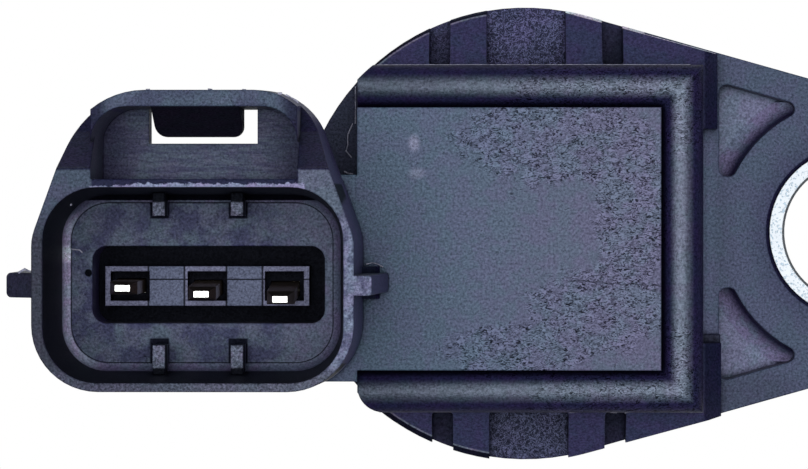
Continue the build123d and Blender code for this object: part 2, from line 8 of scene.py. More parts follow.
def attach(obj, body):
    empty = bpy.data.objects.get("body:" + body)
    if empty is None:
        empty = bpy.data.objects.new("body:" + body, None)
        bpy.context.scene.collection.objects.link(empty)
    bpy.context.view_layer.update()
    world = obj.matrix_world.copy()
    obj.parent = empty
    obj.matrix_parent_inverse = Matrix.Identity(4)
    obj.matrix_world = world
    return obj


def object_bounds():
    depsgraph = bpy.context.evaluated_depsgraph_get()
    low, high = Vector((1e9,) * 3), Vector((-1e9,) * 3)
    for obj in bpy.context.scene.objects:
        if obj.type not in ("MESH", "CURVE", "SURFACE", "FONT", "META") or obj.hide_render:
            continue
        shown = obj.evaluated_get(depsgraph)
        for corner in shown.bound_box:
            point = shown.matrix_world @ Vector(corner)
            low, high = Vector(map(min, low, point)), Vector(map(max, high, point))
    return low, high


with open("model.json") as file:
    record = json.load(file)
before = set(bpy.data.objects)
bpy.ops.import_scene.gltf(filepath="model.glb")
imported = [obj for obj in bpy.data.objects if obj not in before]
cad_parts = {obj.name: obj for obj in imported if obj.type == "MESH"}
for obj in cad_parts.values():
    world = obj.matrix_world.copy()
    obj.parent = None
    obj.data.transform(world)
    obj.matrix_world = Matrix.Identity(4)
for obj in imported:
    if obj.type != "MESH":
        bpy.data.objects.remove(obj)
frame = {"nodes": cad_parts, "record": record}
cad_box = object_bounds()
MM = 0.001

# Levels of the housing's faces above the seat, in millimetres
RIM_TOP = 21.5
KEY_RIB_TOP = 16.3
CAVITY_FLOOR = 13.6
LATCH_FLOOR = 13.5
PLATEAU_TOP = 11.0
ROOF_FOOT = 8.4
FLANGE_TOP = 6.0
SIDE_POCKET_FLOOR = 5.6
SLOT_FLOOR = 5.3
EAR_POCKET_FLOOR = 4.65

# Places that the finish is set out from, in millimetres
BOLT_X = 16.65
DISC_Y = -0.08
PARTING_LINE_Y = -2.34
LATCH_X = -15.9
LATCH_HALF_WIDTH = 4.96
CONNECTOR_END_X = -8.2
WINDOW_EDGES = (-18.8, -17.0, -14.9, -13.1)
RIB_MIDDLES = (-18.055, -14.175)
RIB_SHADOW_HALF_WIDTH = 0.475

# Stretches of the housing, each as (low, high) along X, Y and Z, in millimetres
ROOF = ((-11.5, 10.0), (-12.0, 12.0), (6.1, 9.6))
ROOF_PAINTED_HIGHLIGHT = ((2.0, 9.6), (8.6, 12.0), (5.0, 8.4))
BEAD = ((-8.5, 9.2), (-9.2, 8.6), (9.65, 11.4))
EAR_POCKET_FLARE = ((9.86, 16.6), (-6.6, 6.6), (4.60, 5.97))
RIM_STRIP = ((-20.8, -10.9), (2.2, 3.0), (21.0, 22.0))
RIM_BURR = ((-20.9, -10.6), (2.0, 2.5), (21.0, 22.0))
WINGS = ((-24.0, -8.0), (3.0, 7.0), (12.0, 21.42))
LATCH_WALLS = ((-21.2, -10.6), (2.5, 5.9), (13.6, 21.3))
NIB = ((-18.3, -13.6), (4.3, 6.1), (14.8, 20.8))
CAVITY_WALLS = ((-23.4, -8.82), (-7.4, 2.4), (14.1, 21.4))
CAVITY_WALL_FOOT = ((-22.0, -9.6), (1.50, 2.3), (13.5, 14.4))
CAVITY_FILLET = ((-22.98, -8.85), (-7.1, 1.6), (13.62, 14.3))

# Tones that faces and materials share, in linear light
BARE_PLASTIC = (0.011, 0.011, 0.031)
UPRIGHT_SIDE = (0.044, 0.045, 0.064)
DEEP_SHADE = (0.002, 0.002, 0.005)
BLUISH_SHINE = (0.72, 0.80, 1.0)


# Node helper
class Shader:
    """A material under construction: one short call per node."""

    def __init__(self, name):
        self.material = bpy.data.materials.new(name)
        self.material.use_nodes = True
        self.nodes = self.material.node_tree.nodes
        self.links = self.material.node_tree.links
        self.nodes.clear()
        self.output = self.nodes.new("ShaderNodeOutputMaterial")
        self.bsdf = self.nodes.new("ShaderNodeBsdfPrincipled")
        self.links.new(self.bsdf.outputs[0], self.output.inputs["Surface"])
        coordinates = self.nodes.new("ShaderNodeTexCoord")
        self.mm = self.scaled(coordinates.outputs["Object"], 1.0 / MM)
        split = self.nodes.new("ShaderNodeSeparateXYZ")
        self.links.new(self.mm, split.inputs[0])
        self.x, self.y, self.z = split.outputs
        geometry = self.nodes.new("ShaderNodeNewGeometry")
        facing = self.nodes.new("ShaderNodeSeparateXYZ")
        self.links.new(geometry.outputs["Normal"], facing.inputs[0])
        self.nx, self.ny, self.nz = facing.outputs

    def feed(self, socket, value):
        if isinstance(value, bpy.types.NodeSocket):
            self.links.new(value, socket)
        else:
            socket.default_value = value

    # Arithmetic
    def math(self, operation, a, b=0.0):
        node = self.nodes.new("ShaderNodeMath")
        node.operation = operation
        for socket, value in zip(node.inputs, (a, b)):
            self.feed(socket, value)
        return node.outputs[0]

    def add(self, *values):
        total = values[0]
        for value in values[1:]:
            total = self.math("ADD", total, value)
        return total

    def mul(self, *values):
        total = values[0]
        for value in values[1:]:
            total = self.math("MULTIPLY", total, value)
        return total

    def larger(self, a, b):
        return self.math("MAXIMUM", a, b)

    def outside(self, mask):
        """1 where a mask is 0, and 0 where it is 1."""
        return self.math("SUBTRACT", 1.0, mask)

    def scaled(self, vector, factor):
        node = self.nodes.new("ShaderNodeVectorMath")
        node.operation = "SCALE"
        self.feed(node.inputs[0], vector)
        self.feed(node.inputs["Scale"], factor)
        return node.outputs[0]

    def tinted(self, colour, tint):
        node = self.nodes.new("ShaderNodeVectorMath")
        node.operation = "MULTIPLY"
        self.feed(node.inputs[0], colour)
        self.feed(node.inputs[1], tint)
        return node.outputs[0]

    def ramp(self, value, low, high, to_low=0.0, to_high=1.0, smooth=True):
        node = self.nodes.new("ShaderNodeMapRange")
        node.interpolation_type = "SMOOTHSTEP" if smooth else "LINEAR"
        node.clamp = True
        self.feed(node.inputs["Value"], value)
        node.inputs["From Min"].default_value = low
        node.inputs["From Max"].default_value = high
        node.inputs["To Min"].default_value = to_low
        node.inputs["To Max"].default_value = to_high
        return node.outputs[0]

    def mix(self, factor, a, b):
        node = self.nodes.new("ShaderNodeMix")
        node.data_type = "RGBA"
        self.feed(node.inputs[0], factor)
        for index, colour in ((6, a), (7, b)):
            if isinstance(colour, tuple):
                colour = (*colour, 1.0)
            self.feed(node.inputs[index], colour)
        return node.outputs[2]

    def blend(self, factor, a, b):
        node = self.nodes.new("ShaderNodeMix")
        node.data_type = "FLOAT"
        self.feed(node.inputs[0], factor)
        self.feed(node.inputs[2], a)
        self.feed(node.inputs[3], b)
        return node.outputs[0]

    # Masks, 1 inside and 0 outside, placed in millimetres
    def band(self, value, low, high, soft=0.05):
        """The stretch between low and high, with edges this soft."""
        return self.mul(
            self.ramp(value, low - soft, low + soft),
            self.ramp(value, high - soft, high + soft, 1.0, 0.0),
        )

    def box(self, x, y, z, soft=0.05):
        return self.mul(self.band(self.x, *x, soft), self.band(self.y, *y, soft), self.band(self.z, *z, soft))

    def shelf(self, z):
        """The faces that lie level at this height."""
        return self.mul(self.band(self.z, z - 0.06, z + 0.06, 0.02), self.ramp(self.nz, 0.9, 0.995))

    def upright(self):
        """The faces that stand up or look down."""
        return self.ramp(self.nz, 0.2, 0.1)

    def away(self, value, place):
        """Distance of a value from a place on its axis."""
        return self.math("ABSOLUTE", self.add(value, -place))

    def distance(self, x, y, reach_x=1.0, reach_y=1.0):
        """Distance from a point on the XY plane, in units of the two reaches."""
        across = self.math("DIVIDE", self.add(self.x, -x), reach_x)
        along = self.math("DIVIDE", self.add(self.y, -y), reach_y)
        return self.math("SQRT", self.add(self.mul(across, across), self.mul(along, along)))

    def spot(self, x, y, reach_x, reach_y, core=0.5):
        """A soft oval on the XY plane."""
        return self.ramp(self.distance(x, y, reach_x, reach_y), core, 1.0, 1.0, 0.0)

    # Textures
    def stretched(self, factors, turn=0.0):
        """Millimetre coordinates turned about Z and scaled by factors, for streaked textures."""
        node = self.nodes.new("ShaderNodeMapping")
        node.vector_type = "POINT"
        self.feed(node.inputs["Vector"], self.mm)
        node.inputs["Rotation"].default_value = (0.0, 0.0, turn)
        node.inputs["Scale"].default_value = factors
        return node.outputs[0]

    def noise(self, scale, detail=2.0, roughness=0.5, distortion=0.0, vector=None):
        node = self.nodes.new("ShaderNodeTexNoise")
        self.feed(node.inputs["Vector"], self.mm if vector is None else vector)
        node.inputs["Scale"].default_value = scale
        node.inputs["Detail"].default_value = detail
        node.inputs["Roughness"].default_value = roughness
        node.inputs["Distortion"].default_value = distortion
        return node.outputs[0]

    def occlusion(self, reach):
        node = self.nodes.new("ShaderNodeAmbientOcclusion")
        node.samples = 4
        node.inputs["Distance"].default_value = reach
        return node.outputs["AO"]

    def rounded(self, radius):
        """Normals of edges that look rounded by this radius."""
        node = self.nodes.new("ShaderNodeBevel")
        node.samples = 6
        node.inputs["Radius"].default_value = radius
        return node.outputs[0]

    def bump(self, height, distance, strength=1.0, normal=None):
        node = self.nodes.new("ShaderNodeBump")
        node.inputs["Strength"].default_value = strength
        node.inputs["Distance"].default_value = distance
        self.feed(node.inputs["Height"], height)
        if normal is not None:
            self.feed(node.inputs["Normal"], normal)
        return node.outputs[0]

    def finish(self, **sockets):
        names = {
            "colour": "Base Color",
            "roughness": "Roughness",
            "metallic": "Metallic",
            "specular": "Specular IOR Level",
            "specular_tint": "Specular Tint",
            "normal": "Normal",
        }
        for key, value in sockets.items():
            if isinstance(value, tuple):
                value = (*value, 1.0)
            self.feed(self.bsdf.inputs[names[key]], value)
        return self.material


# The housing's faces
# Each function below gives rows of where a face is, its colour in linear light and its shine. A later
# row covers an earlier one.
def roof_faces(s):
    """The sloping roof, with a bright edge at its upper right that is a painted highlight, and a right end
    painted darker as painted shade.

    Left of the middle, a pale arc and a dark ledge follow its round edge at the top and the bottom: a painted
    highlight on the edge and painted shade on the side below it.
    """
    roof = s.mul(s.band(s.nz, 0.6, 0.9), s.box(*ROOF))
    right_end = s.ramp(s.x, 8.95, 9.1)
    from_disc_axis = s.distance(0.0, DISC_Y)
    arc_stretch = s.ramp(s.x, 1.8, 1.7)
    arc = s.mul(roof, s.band(from_disc_axis, 11.20, 11.28, 0.02), arc_stretch)
    ledge = s.mul(roof, s.ramp(from_disc_axis, 11.27, 11.30), arc_stretch)
    beyond_edge = s.ramp(s.add(s.y, s.mul(s.x, 0.2827)), 11.68, 11.72)
    painted_highlight_edge = s.mul(beyond_edge, s.box(*ROOF_PAINTED_HIGHLIGHT), s.ramp(s.nz, 0.3, 0.5))
    return (
        (roof, (0.036, 0.036, 0.092), 0.3),
        # Painted shade: the roof's right end is painted darker
        (s.mul(roof, right_end), (0.013, 0.013, 0.042), 0.1),
        # Painted highlight and painted shade: the pale arc and the dark ledge along the round edge
        (arc, (0.16, 0.16, 0.22), 0.3),
        (ledge, (0.006, 0.006, 0.016), 0.05),
        # Painted highlight: the bright edge at the upper right
        (painted_highlight_edge, (0.88, 0.86, 0.95), 0.9),
    )


def head_faces(s, plateau, bead):
    """The plateau, greener to the left, and the bead, bright along its crown and dark on its flanks: painted
    highlight on the crown and painted shade on the flanks.
    """
    to_right = s.ramp(s.x, -7.0, 6.0)
    crown = s.ramp(s.nz, 0.80, 0.985)
    plateau_colour = s.mix(to_right, (0.052, 0.078, 0.126), (0.086, 0.088, 0.147))
    plateau_shine = s.blend(s.ramp(s.y, -7.5, 0.0), 0.44, 0.49)
    crown_colour = s.mix(to_right, (0.028, 0.038, 0.056), (0.062, 0.070, 0.104))
    crown_shine = s.add(s.ramp(s.x, -8.5, -1.5, 0.48, 0.69), s.ramp(s.x, 6.0, 7.5, 0.0, 0.12))
    # Painted highlight and painted shade: the bead's colour and shine go from dark flanks to a light crown by
    # which way its faces look
    bead_colour = s.mix(crown, (0.017, 0.015, 0.048), crown_colour)
    bead_shine = s.mul(crown_shine, s.blend(crown, 0.07, 1.0))
    return (
        (plateau, plateau_colour, plateau_shine),
        (bead, bead_colour, bead_shine),
    )


def flange_faces(s, from_bolt, flare):
    """The ear's top, the pockets beside the bush, and the recesses at both sides of the head."""
    ear_top = s.mul(s.shelf(FLANGE_TOP), s.ramp(s.x, 6.0, 6.1))
    ear_colour = s.mix(s.ramp(from_bolt, 4.3, 5.9), (0.018, 0.020, 0.062), (0.038, 0.050, 0.094))
    # Painted light: the ear's top is painted lighter next to the bead, against the bead's shade
    ear_colour = s.mix(s.ramp(s.x, 9.3, 10.0), (0.080, 0.098, 0.170), ear_colour)
    ear_colour = s.mix(s.spot(11.6, -8.2, 3.4, 1.8, 0.3), ear_colour, (0.022, 0.026, 0.060))
    # Painted shade: the flare is painted pale at its foot and dark up its slope
    flare_colour = s.mix(s.ramp(s.z, 4.66, 5.5), (0.165, 0.165, 0.260), (0.014, 0.012, 0.040))
    side_pocket_colour = s.mix(s.ramp(s.y, -1.0, 1.0), (0.006, 0.005, 0.021), (0.012, 0.010, 0.035))
    return (
        (ear_top, ear_colour, 0.42),
        (flare, flare_colour, 0.15),
        (s.shelf(EAR_POCKET_FLOOR), (0.110, 0.119, 0.193), 0.57),
        (s.shelf(SIDE_POCKET_FLOOR), side_pocket_colour, 0.145),
        (s.shelf(SLOT_FLOOR), (0.014, 0.013, 0.037), 0.11),
    )


def rim_faces(s, grain):
    """The connector's rim, the bridge over the latch, and the strip with a burr between latch and cavity."""
    rim = s.shelf(RIM_TOP)
    # Painted light: the rim is painted lighter and shinier towards its right end, where it is also rough and
    # mottled
    to_right = s.ramp(s.x, -22.5, -9.5)
    rough = s.ramp(s.noise(2.4, 4.0, 0.7), 0.36, 0.64)
    right_colour = s.mix(rough, (0.050, 0.050, 0.110), (0.150, 0.158, 0.250))
    low_colour = s.mix(grain, (0.006, 0.006, 0.014), (0.070, 0.070, 0.110))
    rim_colour = s.mix(to_right, (0.020, 0.019, 0.032), right_colour)
    rim_colour = s.mix(s.ramp(s.y, -0.5, 1.5), rim_colour, (0.046, 0.057, 0.092))
    rim_colour = s.mix(s.ramp(s.y, -6.2, -6.9), rim_colour, low_colour)
    rim_shine = s.blend(to_right, 0.26, s.blend(rough, 0.42, 0.74))

    # Painted shade: the bridge is painted darker and duller towards its ends, where its legs fall away
    bridge_end = s.ramp(s.away(s.x, LATCH_X), 3.9, 4.7)
    cloud = s.ramp(s.noise(0.55, 3.0, 0.6), 0.35, 0.65)
    bridge_colour = s.mix(cloud, (0.022, 0.026, 0.066), (0.044, 0.063, 0.100))
    bridge_colour = s.mix(bridge_end, bridge_colour, (0.013, 0.012, 0.036))

    ragged_y = s.add(s.y, s.mul(s.noise(3.0, 4.0, 0.7), -0.5), s.ramp(s.x, -19.8, -18.2, 0.09, 0.0))
    burr = s.mul(rim, s.box(*RIM_BURR), s.ramp(ragged_y, 2.11, 2.17, 1.0, 0.0))
    return (
        (rim, rim_colour, rim_shine),
        (s.mul(rim, s.ramp(s.y, 3.0, 3.1)), bridge_colour, s.blend(bridge_end, 0.43, 0.12)),
        (s.mul(rim, s.box(*RIM_STRIP)), (0.010, 0.010, 0.038), 0.13),
        # The burr is painted pale: partly its own colour and partly a painted highlight along the rim's edge
        (burr, (0.24, 0.23, 0.37), 0.5),
    )


def floor_faces(s):
    """The latch's floor, streaked along X and darker at its ends, and the cavity's clouded floor."""
    latch_floor = s.mul(s.shelf(LATCH_FLOOR), s.ramp(s.y, 2.4, 2.5))
    streaks = s.noise(2.0, 4.0, 0.65, 0.6, s.stretched((0.30, 2.2, 1.0)))
    latch_colour = s.mix(s.ramp(streaks, 0.35, 0.65), (0.046, 0.044, 0.112), (0.112, 0.124, 0.186))
    ragged_distance = s.add(s.away(s.x, LATCH_X), s.mul(s.noise(1.2, 3.0, 0.6), 1.2))
    latch_end = s.mul(s.ramp(ragged_distance, 3.4, 5.2), 0.85)
    latch_colour = s.mix(latch_end, latch_colour, (0.026, 0.023, 0.068))

    cavity_floor = s.mul(s.shelf(CAVITY_FLOOR), s.ramp(s.y, 2.3, 2.4, 1.0, 0.0))
    clouds = s.ramp(s.noise(0.9, 4.0, 0.6), 0.40, 0.60)
    cavity_colour = s.mix(clouds, (0.015, 0.014, 0.058), (0.060, 0.073, 0.110))
    # Painted light: the cavity's floor is painted lighter towards its right end
    cavity_colour = s.mix(s.ramp(s.x, -13.0, -10.4), cavity_colour, (0.084, 0.090, 0.145))
    return (
        (latch_floor, latch_colour, s.blend(latch_end, 0.52, 0.30)),
        (cavity_floor, cavity_colour, 0.36),
    )


def side_faces(s):
    """The wings beside the latch, the housing's upright sides and the walls of latch and cavity, with painted
    light on the upright sides and the latch's walls, and painted shade, nearly black, on the cavity's walls.
    """
    beside_latch = s.ramp(s.away(s.x, LATCH_X), LATCH_HALF_WIDTH, LATCH_HALF_WIDTH + 0.04)
    on_connector = s.ramp(s.x, CONNECTOR_END_X + 0.1, CONNECTOR_END_X - 0.1)
    above_head = s.ramp(s.z, 11.3, 11.5)
    connector_side = s.mul(s.upright(), s.larger(on_connector, above_head))
    facing_bolt = s.ramp(s.nx, 0.25, 0.35)
    below_flange_top = s.ramp(s.z, 5.9, 5.7)
    return (
        (s.mul(beside_latch, s.box(*WINGS)), (0.016, 0.015, 0.044), 0.06),
        # Painted light: the upright sides of the connector and below the flange are painted lighter than the
        # bare plastic
        (connector_side, UPRIGHT_SIDE, 0.45),
        (s.mul(s.upright(), below_flange_top), UPRIGHT_SIDE, 0.45),
        (s.mul(connector_side, facing_bolt), (0.052, 0.045, 0.120), 0.22),
        # Painted light: the latch's walls are painted lighter against the shade of the latch
        (s.mul(s.upright(), s.box(*LATCH_WALLS)), (0.085, 0.082, 0.130), 0.5),
        # Painted shade: the cavity's walls and the foot of its top wall are painted nearly black
        (s.box(*CAVITY_WALLS), DEEP_SHADE, 0.06),
        (s.box(*CAVITY_WALL_FOOT, 0.02), DEEP_SHADE, 0.05),
    )


def cavity_details(s, grain):
    """Key ribs and their dark outlines, which are painted shadow, the floor's fillet, painted light with a
    painted highlight, the floor's line and round mark, and the latch's nib.
    """
    # Painted shade: the rib tops are lit only away from the wall; nearer it they keep the cavity walls'
    # painted shade
    rib_tops = s.mul(s.shelf(KEY_RIB_TOP), s.band(s.y, -6.58, 1.50, 0.06))
    half = RIB_SHADOW_HALF_WIDTH
    beside_ribs = s.add(*(s.band(s.x, middle - half, middle + half) for middle in RIB_MIDDLES))
    along_ribs = s.add(s.ramp(s.y, 0.66, 0.74), s.ramp(s.y, -5.17, -5.25))
    # Painted shadow: dark outlines on the floor beside and at the ends of the ribs
    rib_painted_shadows = s.mul(s.shelf(CAVITY_FLOOR), s.mul(beside_ribs, along_ribs))
    fillet = s.mul(s.box(*CAVITY_FILLET, 0.02), s.ramp(s.nz, 0.99, 0.96))
    # The fillet is painted pale on its left side, partly stress-whitened plastic and partly painted light,
    # with a painted highlight spot
    lit_side = s.mul(s.ramp(s.x, -20.5, -22.3), s.ramp(s.y, 1.2, 0.2))
    painted_highlight_spot = s.mul(fillet, s.spot(-22.55, -1.05, 0.9, 0.55, 0.3))
    floor_line = s.band(s.z, CAVITY_FLOOR + 0.005, CAVITY_FLOOR + 0.015, 0.003)
    round_mark = s.mul(s.shelf(CAVITY_FLOOR), s.spot(-21.57, -1.98, 0.22, 0.22, 0.7))
    return (
        (rib_tops, s.mix(grain, (0.010, 0.010, 0.024), (0.150, 0.150, 0.220)), 0.5),
        (rib_painted_shadows, (0.003, 0.003, 0.010), 0.05),
        (fillet, s.mix(lit_side, (0.090, 0.090, 0.150), (0.36, 0.34, 0.48)), 0.5),
        (painted_highlight_spot, (0.75, 0.72, 0.85), 0.8),
        (floor_line, (0.003, 0.003, 0.008), 0.05),
        (round_mark, (0.002, 0.002, 0.004), 0.02),
        (s.box(*NIB), (0.014, 0.012, 0.023), 0.06),
    )


# Marks and wear on the housing, and painted shade in its narrow corners
def pale_rubs(s):
    """Two small pale places on the left of the plateau."""
    upper = s.spot(-5.54, 4.46, 0.4, 0.6, 0.2)
    lower = s.spot(-5.4, 2.95, 0.6, 0.4, 0.2)
    return s.add(s.mul(upper, 0.6), s.mul(lower, 0.35))


def hairline_crack(s):
    """A dark wavy hairline on the right of the plateau."""
    wander = s.mul(s.noise(1.3, 3.0, 0.6), 0.5)
    from_line = s.away(s.add(s.y, s.mul(s.x, 0.05), wander), -2.05)
    return s.mul(s.ramp(from_line, 0.02, 0.06, 0.6, 0.0), s.ramp(s.x, 1.6, 2.6))


def worn_places(s, bead):
    """Where the plastic is worn, in clumps: most in ovals on the head's top and along three of its edges."""
    worn = s.add(
        s.spot(1.2, 4.6, 5.8, 2.6),
        s.spot(5.3, 1.5, 2.4, 5.5),
        s.spot(3.6, -3.9, 4.2, 2.6),
        s.spot(-0.4, -5.9, 4.6, 1.6),
        s.mul(s.ramp(s.x, 6.9, 7.2), s.ramp(s.away(s.y, -0.3), 3.6, 5.2)),
        s.mul(s.ramp(s.y, -6.8, -7.2), s.ramp(s.x, -2.0, 3.0), 0.8),
        s.mul(s.ramp(s.y, 6.2, 6.5), s.ramp(s.x, -2.5, 1.0), 0.8),
    )
    worn = s.ramp(s.add(worn, s.mul(s.noise(1.2, 5.0, 0.7), 2.0)), 0.95, 1.75)
    worn = s.mul(worn, s.ramp(s.noise(2.4, 3.0, 0.6), 0.38, 0.56, 0.55, 1.25))
    return s.mul(worn, s.ramp(s.z, 9.4, 9.6), s.blend(bead, 1.0, 0.72))


def recess_curls(s):
    """Pale curls on the floors of the recesses beside the head."""
    curls = s.band(s.noise(5.0, 2.0, 0.6, 1.2), 0.465, 0.535, 0.02)
    upper_left_slot = s.mul(s.shelf(SLOT_FLOOR), s.ramp(s.x, 0.0, -1.0), s.ramp(s.y, -1.0, 1.0), 0.5)
    return s.mul(curls, s.add(s.shelf(SIDE_POCKET_FLOOR), upper_left_slot))


def crevice_shade(s, from_bolt, flare):
    """Painted shade, darker in narrow corners, but not round the bush or in the pockets beside it."""
    crevice = s.ramp(s.occlusion(0.4 * MM), 0.35, 0.9, 0.35, 1.0)
    open_places = s.larger(flare, s.ramp(from_bolt, 4.9, 4.6, 0.0, 0.8))
    return s.blend(open_places, crevice, 1.0)


# Materials
def mould_grain(s, scale):
    return s.ramp(s.noise(scale, 3.0, 0.7), 0.3, 0.7, smooth=False)


def housing_plastic():
    """The overmoulding: each face's tone and shine, some with painted light and shade, under a fine mottle,
    clouds, wear and painted shade in narrow corners.
    """
    s = Shader("housing_plastic")
    grain = mould_grain(s, 8.0)
    plateau = s.shelf(PLATEAU_TOP)
    bead = s.mul(s.box(*BEAD), s.outside(plateau))
    from_bolt = s.distance(BOLT_X, 0.0)
    flare = s.mul(s.box(*EAR_POCKET_FLARE, 0.015), s.ramp(s.nz, 0.1, 0.3))
    faces = (
        *roof_faces(s),
        *head_faces(s, plateau, bead),
        *flange_faces(s, from_bolt, flare),
        *rim_faces(s, grain),
        *floor_faces(s),
        *side_faces(s),
        *cavity_details(s, grain),
    )
    colour, specular = BARE_PLASTIC, 0.25
    for place, tone, shine in faces:
        colour = s.mix(place, colour, tone)
        specular = s.blend(place, specular, shine)

    # Greenish and purplish clouds
    hue = s.ramp(s.noise(0.8, 4.0, 0.65), 0.4, 0.6)
    colour = s.tinted(colour, s.mix(hue, (0.90, 1.06, 1.0), (1.08, 0.94, 1.06)))
    colour = s.mix(s.mul(pale_rubs(s), plateau), colour, (0.30, 0.29, 0.42))

    # A fine mottle, and leaf-like pits where the plastic is worn
    worn = worn_places(s, bead)
    pits = s.noise(6.6, 2.0, 0.6, 1.8, s.stretched((0.62, 1.25, 1.0), -0.7))
    shade = s.blend(
        worn,
        s.add(0.45, s.mul(grain, 1.10)),
        s.add(-0.14, s.mul(s.ramp(pits, 0.35, 0.62), 1.54), s.mul(grain, 0.50)),
    )
    # Pale curls, the hairline crack, and painted shade in narrow corners
    shade = s.mul(
        s.larger(s.add(shade, s.mul(recess_curls(s), 4.0)), 0.06),
        s.outside(s.mul(hairline_crack(s), plateau)),
        crevice_shade(s, from_bolt, flare),
    )
    return s.finish(
        colour=s.scaled(colour, shade),
        roughness=s.blend(bead, 0.46, 0.37),
        specular=s.mul(specular, shade),
        specular_tint=BLUISH_SHINE,
        normal=s.bump(s.add(grain, s.mul(pits, worn)), 0.015 * MM, 0.5, s.rounded(0.12 * MM)),
    )


def carrier_plastic():
    """The insert's plastic: grey-blue block tops with pale edges, over a moat that is painted nearly black
    with its sides, as painted shade.
    """
    s = Shader("carrier_plastic")
    grain = mould_grain(s, 9.0)
    top = s.mul(s.ramp(s.z, 10.6, 10.75), s.ramp(s.nz, 0.9, 0.99))
    first, second, third, fourth = WINDOW_EDGES
    block = s.add(s.band(s.x, first, second, 0.02), s.band(s.x, third, fourth, 0.02))
    # Painted shade: all but the block tops are painted nearly black, the moat with them
    colour = s.mix(top, (0.005, 0.005, 0.009), (0.075, 0.084, 0.150))
    colour = s.mix(s.mul(top, s.outside(block)), colour, (0.150, 0.146, 0.240))
    right_of_first = s.ramp(s.x, first - 0.2, first)
    parting = s.mul(s.ramp(s.away(s.y, PARTING_LINE_Y), 0.02, 0.06, 1.0, 0.0), right_of_first)
    for edge in WINDOW_EDGES:
        parting = s.larger(parting, s.ramp(s.away(s.x, edge), 0.03, 0.07, 1.0, 0.0))
    shade = s.mul(s.add(0.45, s.mul(grain, 1.1)), s.outside(s.mul(parting, top, 0.85)))
    return s.finish(
        colour=s.scaled(colour, shade),
        roughness=0.45,
        specular=s.mul(s.blend(top, 0.04, 0.55), shade),
        specular_tint=BLUISH_SHINE,
        normal=s.bump(grain, 0.015 * MM, 0.5, s.rounded(0.06 * MM)),
    )


def plain_plastic(name, dark, light, roughness):
    s = Shader(name)
    grain = s.noise(8.0, 3.0, 0.6)
    normal = s.bump(grain, 0.015 * MM, 0.5, s.rounded(0.05 * MM))
    return s.finish(colour=s.mix(grain, dark, light), roughness=roughness, normal=normal)


def metal(name, dark, light, roughness):
    s = Shader(name)
    grain = s.noise(6.0, 3.0, 0.6)
    normal = s.bump(grain, 0.006 * MM, 0.4, s.rounded(0.04 * MM))
    return s.finish(colour=s.mix(grain, dark, light), metallic=1.0, roughness=roughness, normal=normal)


def terminal_with_painted_light():
    """Faces that lie level painted bright and the sides dull brown: painted highlight and painted shade on
    one metal.
    """
    s = Shader("terminal_metal")
    grain = s.noise(7.0, 3.0, 0.6)
    sides = s.mix(grain, (0.200, 0.140, 0.095), (0.600, 0.440, 0.320))
    # Painted highlight and painted shade: brown sides turn bright where a face lies level
    colour = s.mix(s.ramp(s.nz, 0.8, 0.95), sides, (0.90, 0.88, 0.82))
    normal = s.bump(grain, 0.01 * MM, 0.5, s.rounded(0.06 * MM))
    return s.finish(colour=colour, metallic=1.0, roughness=0.3, normal=normal)


def turned_bush():
    """Bright steel face with fine bluish pits."""
    s = Shader("bush_steel")
    pits = s.ramp(s.noise(9.0, 2.0, 0.6), 0.33, 0.44)
    steel = s.mix(s.noise(1.0), (0.45, 0.47, 0.49), (0.56, 0.58, 0.60))
    colour = s.mix(pits, (0.32, 0.41, 0.48), steel)
    normal = s.bump(pits, 0.01 * MM, 0.5, s.rounded(0.04 * MM))
    return s.finish(colour=colour, metallic=1.0, roughness=0.5, normal=normal)


def flash_and_painted_highlight():
    """Thin flash and burrs left by the mould, painted pale all over: partly their own pale colour and partly
    a painted highlight where they catch the light.
    """
    s = Shader("flash_and_painted_highlight")
    grain = s.ramp(s.noise(6.0, 3.0, 0.7), 0.3, 0.7)
    colour = s.mix(grain, (0.14, 0.14, 0.20), (0.48, 0.47, 0.60))
    return s.finish(colour=colour, roughness=0.5, normal=s.bump(grain, 0.01 * MM))


MATERIALS = {
    "housing_plastic": housing_plastic(),
    "bush_steel": turned_bush(),
    "seal_rubber": plain_plastic("seal_rubber", (0.012, 0.012, 0.013), (0.022, 0.022, 0.024), 0.55),
    "carrier_plastic": carrier_plastic(),
    "terminal_metal": terminal_with_painted_light(),
    "board_laminate": plain_plastic("board_laminate", (0.010, 0.075, 0.030), (0.016, 0.11, 0.045), 0.4),
    "chip_mould": plain_plastic("chip_mould", (0.010, 0.010, 0.011), (0.018, 0.018, 0.019), 0.6),
    "leg_metal": metal("leg_metal", (0.62, 0.60, 0.56), (0.80, 0.78, 0.74), 0.35),
    "magnet_metal": metal("magnet_metal", (0.20, 0.21, 0.23), (0.32, 0.33, 0.35), 0.4),
    "capacitor_body": plain_plastic("capacitor_body", (0.26, 0.15, 0.08), (0.36, 0.22, 0.12), 0.5),
    "resistor_body": plain_plastic("resistor_body", (0.010, 0.010, 0.012), (0.020, 0.020, 0.022), 0.4),
    "solder_metal": metal("solder_metal", (0.55, 0.56, 0.58), (0.75, 0.76, 0.78), 0.3),
}
for part in frame["record"]["subparts"]:
    node = frame["nodes"][part["node"]]
    node.data.materials.clear()
    node.data.materials.append(MATERIALS[part["material_slot"]])


# Flash and burrs left by the mould, and a pale ridge of painted highlight at the bead's foot
FLASH_AND_HIGHLIGHT = flash_and_painted_highlight()
WAVER_STEP = 0.25
ON_FLANGE = FLANGE_TOP + 0.02
ON_PLATEAU = PLATEAU_TOP + 0.02
ON_ROOF_FOOT = ROOF_FOOT + 0.01
ON_CAVITY_FLOOR = CAVITY_FLOOR + 0.02
ON_BRIDGE = RIM_TOP - 0.08
AT_BRIDGE_EDGE = RIM_TOP - 0.1


